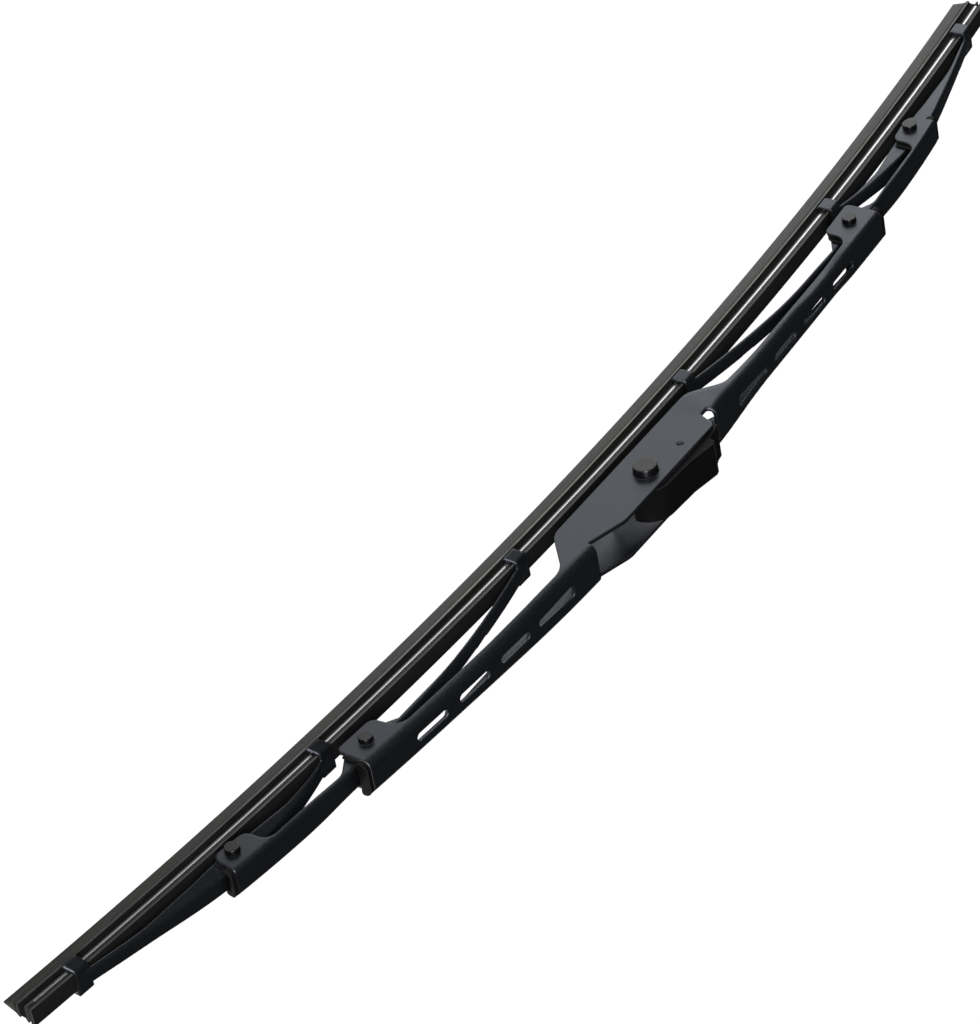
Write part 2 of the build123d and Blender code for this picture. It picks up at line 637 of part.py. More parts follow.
# End yoke: folded sheet on the secondary bridge's rivet, a claw at each end
with BuildPart() as end_yoke_left:
    with BuildSketch(BEYOND):
        with BuildLine():
            ThreePointArc(
                (YOKE_INNER_TIP_X, yoke_crest(YOKE_INNER_TIP_X)),
                (146, yoke_crest(146)),
                (YOKE_CREST_X, YOKE_CREST_H),
            )
            ThreePointArc(
                (YOKE_CREST_X, YOKE_CREST_H),
                (175, yoke_crest(175)),
                (YOKE_SHOULDER_X, yoke_crest(YOKE_SHOULDER_X)),
            )
            ThreePointArc(
                (YOKE_SHOULDER_X, yoke_crest(YOKE_SHOULDER_X)),
                (206, yoke_crest(206)),
                (YOKE_OUTER_TIP_X, yoke_crest(YOKE_OUTER_TIP_X)),
            )
            FilletPolyline(
                (YOKE_OUTER_TIP_X, yoke_crest(YOKE_OUTER_TIP_X)),
                (YOKE_OUTER_TIP_X, -3.3),
                (206, 2.2),
                (187, 4.5),
                (179, 4.9),
                (163, 7.0),
                (151, 8.9),
                (139, 8.3),
                (YOKE_INNER_TIP_X, 6.1),
                (YOKE_INNER_TIP_X, yoke_crest(YOKE_INNER_TIP_X)),
                radius=[0, 60, 30, 10, 10, 15, 20, 0],
            )
        make_face()
    extrude(amount=2 * REACH)
    with BuildSketch(BELOW):
        with BuildLine():
            Line((120, YOKE_ARM_HALF), (140, YOKE_ARM_HALF))
            Bezier(
                (140, YOKE_ARM_HALF),
                (148, YOKE_ARM_HALF),
                (150, YOKE_PIVOT_HALF),
                (158, YOKE_PIVOT_HALF),
            )
            Line((158, YOKE_PIVOT_HALF), (186, YOKE_PIVOT_HALF))
            Bezier(
                (186, YOKE_PIVOT_HALF),
                (194, YOKE_PIVOT_HALF),
                (198, YOKE_ARM_HALF),
                (206, YOKE_ARM_HALF),
            )
            Polyline((206, YOKE_ARM_HALF), (240, YOKE_ARM_HALF), (240, 0))
            Line((120, 0), (120, YOKE_ARM_HALF))
            mirror(about=Plane.XZ)
        make_face()
    extrude(amount=2 * REACH, mode=Mode.INTERSECT)
    yoke_folds = end_yoke_left.edges().filter_by(
        lambda e: abs(e.center().Y) > 1
        and e.bounding_box().size.X > 3
        and abs(e.center().Z + PIN_HEIGHT - yoke_crest(e.center().X)) < 0.3
    )
    fillet(yoke_folds, YOKE_FOLD)
    add(yoke_inside.part, mode=Mode.SUBTRACT)
    for claw_at in (CLAW_MIDDLE_AT, CLAW_OUTER_AT):
        with BuildSketch(bow_plane(claw_at - CLAW_LENGTH / 2)):
            with Locations((0, (CLAW_TOP + CLAW_BOTTOM) / 2)):
                RectangleRounded(2 * CLAW_OUTER_HALF, CLAW_TOP - CLAW_BOTTOM, CLAW_SHEET)
        extrude(amount=CLAW_LENGTH)
    for claw_at in (CLAW_MIDDLE_AT, CLAW_OUTER_AT):
        with BuildSketch(bow_plane(claw_at - CLAW_LENGTH)):
            with Locations((0, (CLAW_CEILING + CLAW_FLOOR) / 2)):
                Rectangle(2 * CLAW_INNER_HALF, CLAW_CEILING - CLAW_FLOOR)
            with Locations((0, CLAW_FLOOR - 1)):
                Rectangle(2 * CLAW_MOUTH_HALF, 3)
        extrude(amount=2 * CLAW_LENGTH, mode=Mode.SUBTRACT)
    with BuildSketch(BEYOND):
        with Locations((YOKE_PIVOT_X, YOKE_PIVOT_H)):
            Circle(YOKE_RIVET_RADIUS + RUNNING_PLAY)
    extrude(amount=2 * REACH, mode=Mode.SUBTRACT)
end_yoke_left.part.label = "end_yoke_left"
export_step(end_yoke_left.part, "parts/end_yoke_left.step")

with BuildPart() as end_yoke_right:
    mirror(end_yoke_left.part, about=Plane.YZ)
end_yoke_right.part.label = "end_yoke_right"
export_step(end_yoke_right.part, "parts/end_yoke_right.step")

# Centre pin: a turned pin with a low tapered head at each ear
with BuildPart() as centre_pin:
    with BuildSketch():
        with BuildLine():
            FilletPolyline(
                (0, -PRIMARY_CENTRE_HALF - PIN_HEAD_HEIGHT),
                (PIN_FACE_RADIUS, -PRIMARY_CENTRE_HALF - PIN_HEAD_HEIGHT),
                (PIN_HEAD_RADIUS, -PRIMARY_CENTRE_HALF),
                (PIN_RADIUS, -PRIMARY_CENTRE_HALF),
                (PIN_RADIUS, PRIMARY_CENTRE_HALF),
                (PIN_HEAD_RADIUS, PRIMARY_CENTRE_HALF),
                (PIN_FACE_RADIUS, PRIMARY_CENTRE_HALF + PIN_HEAD_HEIGHT),
                (0, PRIMARY_CENTRE_HALF + PIN_HEAD_HEIGHT),
                radius=[0.3, 0, 0, 0, 0, 0.3],
            )
            Line((0, PRIMARY_CENTRE_HALF + PIN_HEAD_HEIGHT), (0, -PRIMARY_CENTRE_HALF - PIN_HEAD_HEIGHT))
        make_face()
    revolve(axis=Axis.Y)
centre_pin.part.label = "centre_pin"
export_step(centre_pin.part, "parts/centre_pin.step")

# Bridge rivet: joins the primary bridge to a secondary bridge
with BuildPart() as bridge_rivet_left:
    with BuildSketch(Plane((BRIDGE_PIVOT_X, 0, BRIDGE_PIVOT_H - PIN_HEIGHT))):
        with BuildLine():
            FilletPolyline(
                (0, -PRIMARY_END_HALF - RIVET_HEAD_HEIGHT),
                (RIVET_FACE_RADIUS, -PRIMARY_END_HALF - RIVET_HEAD_HEIGHT),
                (RIVET_HEAD_RADIUS, -PRIMARY_END_HALF),
                (BRIDGE_RIVET_RADIUS, -PRIMARY_END_HALF),
                (BRIDGE_RIVET_RADIUS, PRIMARY_END_HALF),
                (RIVET_HEAD_RADIUS, PRIMARY_END_HALF),
                (RIVET_FACE_RADIUS, PRIMARY_END_HALF + RIVET_HEAD_HEIGHT),
                (0, PRIMARY_END_HALF + RIVET_HEAD_HEIGHT),
                radius=[0.2, 0, 0, 0, 0, 0.2],
            )
            Line((0, PRIMARY_END_HALF + RIVET_HEAD_HEIGHT), (0, -PRIMARY_END_HALF - RIVET_HEAD_HEIGHT))
        make_face()
    revolve(axis=pivot_axis(BRIDGE_PIVOT_X, BRIDGE_PIVOT_H))
bridge_rivet_left.part.label = "bridge_rivet_left"
export_step(bridge_rivet_left.part, "parts/bridge_rivet_left.step")

with BuildPart() as bridge_rivet_right:
    mirror(bridge_rivet_left.part, about=Plane.YZ)
bridge_rivet_right.part.label = "bridge_rivet_right"
export_step(bridge_rivet_right.part, "parts/bridge_rivet_right.step")

# Yoke rivet: joins a secondary bridge to its end yoke
with BuildPart() as yoke_rivet_left:
    with BuildSketch(Plane((YOKE_PIVOT_X, 0, YOKE_PIVOT_H - PIN_HEIGHT))):
        with BuildLine():
            FilletPolyline(
                (0, -SECONDARY_EAR_HALF - RIVET_HEAD_HEIGHT),
                (RIVET_FACE_RADIUS, -SECONDARY_EAR_HALF - RIVET_HEAD_HEIGHT),
                (RIVET_HEAD_RADIUS, -SECONDARY_EAR_HALF),
                (YOKE_RIVET_RADIUS, -SECONDARY_EAR_HALF),
                (YOKE_RIVET_RADIUS, SECONDARY_EAR_HALF),
                (RIVET_HEAD_RADIUS, SECONDARY_EAR_HALF),
                (RIVET_FACE_RADIUS, SECONDARY_EAR_HALF + RIVET_HEAD_HEIGHT),
                (0, SECONDARY_EAR_HALF + RIVET_HEAD_HEIGHT),
                radius=[0.2, 0, 0, 0, 0, 0.2],
            )
            Line((0, SECONDARY_EAR_HALF + RIVET_HEAD_HEIGHT), (0, -SECONDARY_EAR_HALF - RIVET_HEAD_HEIGHT))
        make_face()
    revolve(axis=pivot_axis(YOKE_PIVOT_X, YOKE_PIVOT_H))
yoke_rivet_left.part.label = "yoke_rivet_left"
export_step(yoke_rivet_left.part, "parts/yoke_rivet_left.step")

with BuildPart() as yoke_rivet_right:
    mirror(yoke_rivet_left.part, about=Plane.YZ)
yoke_rivet_right.part.label = "yoke_rivet_right"
export_step(yoke_rivet_right.part, "parts/yoke_rivet_right.step")

# Bridge liner: plastic saddle between the primary bridge's ears and the secondary bridge
bridge_liner_half = end_inside - LINER_FIT
bridge_liner_bore = SECONDARY_PIVOT_HALF + LINER_PLAY
bridge_collar_x = PRIMARY_END_X + COLLAR_GAP
with BuildPart() as bridge_liner_left:
    with BuildSketch(SIDE.offset(-bridge_liner_half)):
        with BuildLine():
            FilletPolyline(
                (BRIDGE_LINER_X, PRIMARY_END_H - 0.3),
                (bridge_collar_x, PRIMARY_END_H - 1.3),
                (bridge_collar_x, BRIDGE_LINER_LOW),
                (BRIDGE_LINER_X, BRIDGE_LINER_LOW),
                radius=[0, 0, 0, 2],
                close=True,
            )
        make_face()
    extrude(amount=2 * bridge_liner_half)
    liner_edges = bridge_liner_left.edges().filter_by(
        lambda e: e.bounding_box().size.X > 10 and e.center().Z > BRIDGE_PIVOT_H - PIN_HEIGHT
    )
    fillet(liner_edges, PRIMARY_FOLD - PRIMARY_SHEET + 0.1)
    with BuildSketch(Plane((bridge_collar_x, 0, -PIN_HEIGHT), x_dir=(0, 1, 0), z_dir=(1, 0, 0))):
        with BuildLine():
            FilletPolyline(
                (-PRIMARY_END_HALF, PRIMARY_END_H - COLLAR_DEPTH),
                (PRIMARY_END_HALF, PRIMARY_END_H - COLLAR_DEPTH),
                (PRIMARY_END_HALF, PRIMARY_END_H - 0.1),
                (-PRIMARY_END_HALF, PRIMARY_END_H - 0.1),
                radius=[0.8, 0.8, PRIMARY_FOLD, PRIMARY_FOLD],
                close=True,
            )
        make_face()
    extrude(amount=COLLAR)
    with BuildSketch(SIDE.offset(-bridge_liner_bore)):
        with BuildLine():
            Polyline(
                (BRIDGE_LINER_X - 2, secondary_crest(BRIDGE_LINER_X) + SWING_ROOM),
                (bridge_collar_x + 4, secondary_crest(bridge_collar_x + COLLAR) + SWING_ROOM),
                (bridge_collar_x + 4, 0),
                (BRIDGE_LINER_X - 2, 0),
                close=True,
            )
        make_face()
    extrude(amount=2 * bridge_liner_bore, mode=Mode.SUBTRACT)
    with BuildSketch(BEYOND):
        with Locations((BRIDGE_PIVOT_X, BRIDGE_PIVOT_H)):
            Circle(BRIDGE_RIVET_RADIUS + FIXED_PLAY)
    extrude(amount=2 * REACH, mode=Mode.SUBTRACT)
bridge_liner_left.part.label = "bridge_liner_left"
export_step(bridge_liner_left.part, "parts/bridge_liner_left.step")

with BuildPart() as bridge_liner_right:
    mirror(bridge_liner_left.part, about=Plane.YZ)
bridge_liner_right.part.label = "bridge_liner_right"
export_step(bridge_liner_right.part, "parts/bridge_liner_right.step")

# Yoke liner: plastic saddle between the secondary bridge's ears and the end yoke
yoke_liner_half = ear_inside - LINER_FIT
yoke_liner_bore = YOKE_PIVOT_HALF + LINER_PLAY
ear_end_lean = math.atan2(SECONDARY_END_X - 176.8, secondary_crest(SECONDARY_END_X) - 4.4)
with BuildPart() as yoke_liner_left:
    with BuildSketch(SIDE.offset(-yoke_liner_half)):
        with BuildLine():
            FilletPolyline(
                (YOKE_LINER_X, YOKE_LINER_TOP_IN),
                (SECONDARY_END_X + COLLAR_GAP, YOKE_LINER_TOP_OUT),
                (177.3, 5.4),
                (YOKE_LINER_X, 7.4),
                radius=[1, 0, 0, 1.5],
                close=True,
            )
        make_face()
    extrude(amount=2 * yoke_liner_half)
    with BuildSketch(
        Plane(
            (SECONDARY_END_X + COLLAR_GAP, 0, secondary_crest(SECONDARY_END_X) - PIN_HEIGHT),
            x_dir=(0, 1, 0),
            z_dir=(math.cos(ear_end_lean), 0, -math.sin(ear_end_lean)),
        )
    ):
        with BuildLine():
            FilletPolyline(
                (-SECONDARY_EAR_HALF, -COLLAR_DEPTH),
                (SECONDARY_EAR_HALF, -COLLAR_DEPTH),
                (SECONDARY_EAR_HALF, -0.1),
                (-SECONDARY_EAR_HALF, -0.1),
                radius=[0.8, 0.8, SECONDARY_FOLD, SECONDARY_FOLD],
                close=True,
            )
        make_face()
    extrude(amount=COLLAR)
    with BuildSketch(SIDE.offset(-yoke_liner_bore)):
        with BuildLine():
            Polyline(
                (YOKE_LINER_X - 4, yoke_crest(YOKE_CREST_X) + SWING_ROOM),
                (YOKE_PIVOT_X, yoke_crest(YOKE_CREST_X) + SWING_ROOM),
                (SECONDARY_END_X + 6, yoke_crest(SECONDARY_END_X + 4) + SWING_ROOM),
                (SECONDARY_END_X + 6, 0),
                (YOKE_LINER_X - 4, 0),
                close=True,
            )
        make_face()
    extrude(amount=2 * yoke_liner_bore, mode=Mode.SUBTRACT)
    with BuildSketch(BEYOND):
        with Locations((YOKE_PIVOT_X, YOKE_PIVOT_H)):
            Circle(YOKE_RIVET_RADIUS + FIXED_PLAY)
    extrude(amount=2 * REACH, mode=Mode.SUBTRACT)
yoke_liner_left.part.label = "yoke_liner_left"
export_step(yoke_liner_left.part, "parts/yoke_liner_left.step")

with BuildPart() as yoke_liner_right:
    mirror(yoke_liner_left.part, about=Plane.YZ)
yoke_liner_right.part.label = "yoke_liner_right"
export_step(yoke_liner_right.part, "parts/yoke_liner_right.step")

# Hook adapter: plastic clip that snaps on the centre pin and takes the arm's hook
adapter_half = centre_inside - ADAPTER_SIDE_PLAY
with BuildPart() as hook_adapter:
    with BuildSketch(SIDE.offset(-adapter_half)):
        with Locations((0, PIN_HEIGHT)):
            Circle(HUB_RADIUS)
        with BuildLine():
            FilletPolyline(
                (0, PIN_HEIGHT + HUB_RADIUS),
                (-9.6, 33.0),
                (-18.7, 34.7),
                (-20.2, 34.2),
                (-20.6, 32.3),
                (-26.6, 31.2),
                (-26.9, 29.3),
                (-14, 28.0),
                (-6, PIN_HEIGHT),
                radius=[0, 6, 1, 0.4, 0.3, 0.5, 0.5, 4, 0],
                close=True,
            )
        make_face()
        with BuildLine():
            FilletPolyline(
                (-4, 18.4),
                (0, PIN_HEIGHT - HUB_RADIUS),
                (9, 17.4),
                (13.2, 20.2),
                (12.4, 21.6),
                (5, 21),
                radius=[0, 6, 4, 0.6, 0.6, 0],
                close=True,
            )
        make_face()
        with BuildLine():
            FilletPolyline(
                (0, 22.9),
                (7.5, 22.0),
                (20, 23.0),
                (20, 25.0),
                (7.5, 24.6),
                (0, 26.2),
                radius=[0, 0, 0, 0, 1.2, 0],
                close=True,
            )
        make_face(mode=Mode.SUBTRACT)
        with Locations((0, PIN_HEIGHT)):
            Circle(PIN_RADIUS + RUNNING_PLAY, mode=Mode.SUBTRACT)
    extrude(amount=2 * adapter_half)
hook_adapter.part.label = "hook_adapter"
export_step(hook_adapter.part, "parts/hook_adapter.step")
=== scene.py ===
import math

import bpy
from mathutils import Matrix, Vector


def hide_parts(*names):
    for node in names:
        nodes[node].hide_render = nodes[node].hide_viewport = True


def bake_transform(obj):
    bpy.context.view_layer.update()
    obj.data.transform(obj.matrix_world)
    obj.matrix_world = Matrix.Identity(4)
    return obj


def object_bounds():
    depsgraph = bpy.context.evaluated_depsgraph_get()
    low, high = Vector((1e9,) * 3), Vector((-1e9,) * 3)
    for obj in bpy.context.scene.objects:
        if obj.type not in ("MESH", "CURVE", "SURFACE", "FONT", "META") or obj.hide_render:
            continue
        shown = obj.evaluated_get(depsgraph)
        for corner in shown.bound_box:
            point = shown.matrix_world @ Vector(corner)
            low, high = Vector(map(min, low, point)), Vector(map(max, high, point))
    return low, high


# %% [markdown]
# A windscreen wiper blade is a chain of folded steel bridges over one long rubber strip.
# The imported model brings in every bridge, rivet and plastic bearing as a fixed frame,
# in metres, with the hinge pin of the wiper arm at the origin.
# Those pieces keep their shape here, and this script gives them their finish. Only the
# rubber and its two spring strips are modelled anew, because they bend as the blade moves.

# %% Load the frame
MM_PER_M = 1000
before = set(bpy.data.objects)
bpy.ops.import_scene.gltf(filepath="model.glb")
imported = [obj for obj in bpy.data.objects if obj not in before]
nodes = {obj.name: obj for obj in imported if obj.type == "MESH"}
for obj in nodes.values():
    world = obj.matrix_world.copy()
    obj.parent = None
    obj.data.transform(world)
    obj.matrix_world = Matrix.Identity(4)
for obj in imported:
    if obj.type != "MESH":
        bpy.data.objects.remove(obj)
cad_low, cad_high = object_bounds()
print("size in mm:", [round(MM_PER_M * s, 1) for s in cad_high - cad_low])

# %% [markdown]
# The blade was photographed from above its near end with a long lens, so that it runs
# from corner to corner of the picture. The three directions below are the picture's
# right, down and forward directions in the blade's own frame. A camera object looks along
# its own -Z with +Y up, so they become the columns of its matrix with two signs changed.

# %% Set up the camera
picture_right = Vector((-0.55194, 0.150437, 0.820202))
picture_down = Vector((0.582045, 0.773856, 0.249741))
picture_forward = Vector((-0.597147, 0.615237, -0.514683))
camera_place = (0.85904, -0.85834, 0.68222)
camera_data = bpy.data.cameras.new("long_lens")
camera_data.sensor_width = 36
camera_data.lens = 178.08
camera_data.clip_start = 0.05
camera_data.clip_end = 40
camera = bpy.data.objects.new("camera", camera_data)
bpy.context.scene.collection.objects.link(camera)
turn = Matrix((picture_right, -picture_down, -picture_forward)).transposed()
camera.matrix_world = Matrix.Translation(camera_place) @ turn.to_4x4()
bpy.context.scene.camera = camera
bpy.context.scene.view_settings.view_transform = "Standard"
print("camera distance:", round(camera.location.length, 3))

# %% [markdown]
# Black satin paint shows little but what it reflects. The blade hangs over a wide white
# floor, so the sides that lean towards the floor turn grey and the flat tops, which look
# up at a dim room, stay black. One large plane is enough for that. Every object is
# deselected first, because an operator acts on all that is selected.

# %% Lay the floor
FLOOR_SIZE = 2.4
FLOOR_X, FLOOR_Y, FLOOR_DROP = -0.2, 0.72, 0.22


def deselect_all():
    if bpy.context.object and bpy.context.object.mode == "EDIT":
        bpy.ops.object.mode_set(mode="OBJECT")
    bpy.ops.object.select_all(action="DESELECT")


deselect_all()
floor_place = (FLOOR_X, FLOOR_Y, cad_low.z - FLOOR_DROP)
bpy.ops.mesh.primitive_plane_add(size=FLOOR_SIZE, location=floor_place)
floor = bpy.context.object
floor.name = "floor"
print("floor at", round(floor.location.z, 3))

# %% [markdown]
# The floor's look depends on who asks. The camera sees it white everywhere. In reflections
# it fades from white past the far end to black under the near half, as a floor does that
# is lit from one side, and behind the blade it is an even light grey. The Light Path node
# tells these rays apart. Two helpers keep the wiring short here and in the finishes: one
# rescales a value from one range to another, and one does arithmetic with two values.

# %% White floor paint
FLOOR_GREY = (0.15, 0.15, 0.15, 1)
# Places on the floor, in the plane's own coordinates.
DARK_X, WHITE_X, FADE_POWER = 0.26, -0.24, 0.6
BEHIND_FROM_Y, BEHIND_FULL_Y, BEHIND_GREY = -0.60, -0.35, 0.6


def rescaled(tree, value, from_low, from_high, to_low=0.0, to_high=1.0):
    node = tree.nodes.new("ShaderNodeMapRange")
    node.inputs["From Min"].default_value = from_low
    node.inputs["From Max"].default_value = from_high
    node.inputs["To Min"].default_value = to_low
    node.inputs["To Max"].default_value = to_high
    tree.links.new(value, node.inputs["Value"])
    return node.outputs["Result"]


def combined(tree, operation, first, second):
    node = tree.nodes.new("ShaderNodeMath")
    node.operation = operation
    tree.links.new(first, node.inputs[0])
    if isinstance(second, float):
        node.inputs[1].default_value = second
    else:
        tree.links.new(second, node.inputs[1])
    return node.outputs[0]


floor_paint = bpy.data.materials.new("floor_white")
floor_paint.use_nodes = True
tree = floor_paint.node_tree
tree.nodes.clear()
floor_out = tree.nodes.new("ShaderNodeOutputMaterial")
floor_sum = tree.nodes.new("ShaderNodeAddShader")
floor_matt = tree.nodes.new("ShaderNodeBsdfDiffuse")
floor_matt.inputs["Color"].default_value = FLOOR_GREY
floor_glow = tree.nodes.new("ShaderNodeEmission")
ray = tree.nodes.new("ShaderNodeLightPath")
place = tree.nodes.new("ShaderNodeTexCoord")
split = tree.nodes.new("ShaderNodeSeparateXYZ")
tree.links.new(place.outputs["Object"], split.inputs[0])
fade = rescaled(tree, split.outputs["X"], DARK_X, WHITE_X)
eased = combined(tree, "POWER", fade, FADE_POWER)
behind = rescaled(tree, split.outputs["Y"], BEHIND_FROM_Y, BEHIND_FULL_Y, 0.0, BEHIND_GREY)
lit = combined(tree, "MAXIMUM", eased, behind)
mirrored = combined(tree, "MAXIMUM", ray.outputs["Is Glossy Ray"],
                    ray.outputs["Is Transmission Ray"])
faded = combined(tree, "MULTIPLY", mirrored, lit)
shown = combined(tree, "MAXIMUM", ray.outputs["Is Camera Ray"], faded)
tree.links.new(shown, floor_glow.inputs["Strength"])
tree.links.new(floor_matt.outputs[0], floor_sum.inputs[0])
tree.links.new(floor_glow.outputs[0], floor_sum.inputs[1])
tree.links.new(floor_sum.outputs[0], floor_out.inputs["Surface"])
floor.data.materials.append(floor_paint)
print("floor paint:", len(tree.nodes), "nodes")

# %% [markdown]
# A dim even room fills the shadows. Seen directly it is white, so that the floor has no
# horizon from any side.

# %% Dim room
ROOM_TINT = (0.92, 0.96, 1.0, 1)
ROOM_STRENGTH = 0.03
room = bpy.data.worlds.new("room")
bpy.context.scene.world = room
room.use_nodes = True
tree = room.node_tree
tree.nodes.clear()
room_out = tree.nodes.new("ShaderNodeOutputWorld")
room_mix = tree.nodes.new("ShaderNodeMixShader")
room_dim = tree.nodes.new("ShaderNodeBackground")
room_dim.inputs["Color"].default_value = ROOM_TINT
room_dim.inputs["Strength"].default_value = ROOM_STRENGTH
room_white = tree.nodes.new("ShaderNodeBackground")
room_white.inputs["Color"].default_value = (1, 1, 1, 1)
ray = tree.nodes.new("ShaderNodeLightPath")
tree.links.new(ray.outputs["Is Camera Ray"], room_mix.inputs["Fac"])
tree.links.new(room_dim.outputs[0], room_mix.inputs[1])
tree.links.new(room_white.outputs[0], room_mix.inputs[2])
tree.links.new(room_mix.outputs[0], room_out.inputs["Surface"])
print("room strength:", ROOM_STRENGTH)

# %% [markdown]
# Two broad soft lamps stand behind the camera and in front of the blade, where no flat top
# and no rolled edge mirrors them. A large weak one stands beyond the far end and shows as a
# soft sheen on the rolled edges that lean that way. Each lamp is aimed at the origin.

# %% Soft lamps
def soft_lamp(name, place, size, power):
    lamp_data = bpy.data.lights.new(name, "AREA")
    lamp_data.shape = "SQUARE"
    lamp_data.size = size
    lamp_data.energy = power
    lamp = bpy.data.objects.new(name, lamp_data)
    lamp.location = place
    lamp.rotation_euler = (-Vector(place)).to_track_quat("-Z", "Y").to_euler()
    bpy.context.scene.collection.objects.link(lamp)
    print(name, power, "W")


soft_lamp("lamp_near", place=(1.7, -1.05, 1.3), size=1.0, power=30)
soft_lamp("lamp_front", place=(0.9, -2.0, 0.5), size=0.8, power=10)
soft_lamp("lamp_far", place=(-1.5, -1.15, -0.3), size=0.8, power=3.5)

# %% [markdown]
# Every finish starts in the same way: a surface shader that reads a fine noise in the
# piece's own coordinates. The noise moves the roughness and lifts a tiny bump, so that no
# surface is perfectly even. A Bevel node rounds the edges in the shading alone, as
# deburring, plating and paint do on a real pressing.

# %% Helper that starts a finish
BUMP_HEIGHT = 0.0002
NOISE_SPREAD = (0.3, 0.7)


def new_finish(name, roughness, rough_range, grain, bump, edge_round):
    finish = bpy.data.materials.new(name)
    finish.use_nodes = True
    tree = finish.node_tree
    shader = tree.nodes["Principled BSDF"]
    coords = tree.nodes.new("ShaderNodeTexCoord").outputs["Object"]
    noise = tree.nodes.new("ShaderNodeTexNoise")
    noise.inputs["Scale"].default_value = grain
    noise.inputs["Detail"].default_value = 4
    tree.links.new(coords, noise.inputs["Vector"])
    uneven = rescaled(tree, noise.outputs["Fac"], *NOISE_SPREAD,
                      roughness - rough_range, roughness + rough_range)
    tree.links.new(uneven, shader.inputs["Roughness"])
    relief = tree.nodes.new("ShaderNodeBump")
    relief.inputs["Strength"].default_value = bump
    relief.inputs["Distance"].default_value = BUMP_HEIGHT
    tree.links.new(noise.outputs["Fac"], relief.inputs["Height"])
    tree.links.new(relief.outputs["Normal"], shader.inputs["Normal"])
    if edge_round:
        rounding = tree.nodes.new("ShaderNodeBevel")
        rounding.name = "rounding"
        rounding.samples = 8
        rounding.inputs["Radius"].default_value = edge_round
        tree.links.new(rounding.outputs["Normal"], relief.inputs["Normal"])
    print("finish:", name)
    return finish, tree, shader, coords


# %% [markdown]
# No finish has a single flat colour. A second, larger noise runs through a colour ramp and
# clouds it between a dark and a light tone. Edges get a painted highlight: where the rounded
# normal turns away from the true one, a lighter colour is laid over. The Mix node keeps a
# set of sockets for each kind of data, so the colour ones are picked by number.

# %% Helpers that cloud the colour and paint highlights on the edges
CLOUD_DARK_AT, CLOUD_LIGHT_AT = 0.35, 0.65
EDGE_STARTS_AT, EDGE_FULL_AT = 0.95, 0.75
MIX_SHARE, MIX_UNDER, MIX_OVER, MIX_RESULT = 0, 6, 7, 2


def colour_ramp(tree, value, stops):
    node = tree.nodes.new("ShaderNodeValToRGB")
    elements = node.color_ramp.elements
    while len(elements) < len(stops):
        elements.new(0.5)
    for element, (position, colour) in zip(elements, stops):
        element.position = position
        element.color = (*colour, 1)
    tree.links.new(value, node.inputs["Fac"])
    return node.outputs["Color"]


def cloudy_colour(tree, shader, coords, scale, dark, light):
    cloud = tree.nodes.new("ShaderNodeTexNoise")
    cloud.inputs["Scale"].default_value = scale
    cloud.inputs["Detail"].default_value = 5
    tree.links.new(coords, cloud.inputs["Vector"])
    stops = [(CLOUD_DARK_AT, dark), (CLOUD_LIGHT_AT, light)]
    colour = colour_ramp(tree, cloud.outputs["Fac"], stops)
    tree.links.new(colour, shader.inputs["Base Color"])
    return colour


def overlaid(tree, share, under, colour):
    node = tree.nodes.new("ShaderNodeMix")
    node.data_type = "RGBA"
    tree.links.new(share, node.inputs[MIX_SHARE])
    tree.links.new(under, node.inputs[MIX_UNDER])
    node.inputs[MIX_OVER].default_value = (*colour, 1)
    return node


def directed(tree, operation, first, second=None):
    node = tree.nodes.new("ShaderNodeVectorMath")
    node.operation = operation
    tree.links.new(first, node.inputs[0])
    if second:
        tree.links.new(second, node.inputs["Scale" if operation == "SCALE" else 1])
    return node.outputs["Value" if operation == "DOT_PRODUCT" else "Vector"]


# Painted highlight: a lighter colour laid along the edges, where the rounded normal turns away.
def highlighted_edges(tree, shader, under, colour):
    geometry = tree.nodes.new("ShaderNodeNewGeometry")
    turned = directed(tree, "DOT_PRODUCT", geometry.outputs["Normal"],
                      tree.nodes["rounding"].outputs["Normal"])
    edge = rescaled(tree, turned, EDGE_STARTS_AT, EDGE_FULL_AT)
    highlight = overlaid(tree, edge, under, colour)
    tree.links.new(highlight.outputs[MIX_RESULT], shader.inputs["Base Color"])
    return highlight.outputs[MIX_RESULT]


# %% [markdown]
# The paint, with its painted shade and painted light, also depends on the place. An Ambient
# Occlusion node tells how closed in a point is, from 0 deep inside to 1 in the open, and the
# X coordinate tells how far along the blade it is. Both are rescaled to the range that a
# finish asks for.

# %% Helpers that ask where a point is
def closed_in(tree, reach, from_low, from_high, to_low=0.0, to_high=1.0):
    shade = tree.nodes.new("ShaderNodeAmbientOcclusion")
    shade.samples = 8
    shade.inputs["Distance"].default_value = reach
    return rescaled(tree, shade.outputs["AO"], from_low, from_high, to_low, to_high)


def along_blade(tree, coords, start, end, to_low=0.0, to_high=1.0):
    split = tree.nodes.new("ShaderNodeSeparateXYZ")
    tree.links.new(coords, split.inputs[0])
    return rescaled(tree, split.outputs["X"], start, end, to_low, to_high)
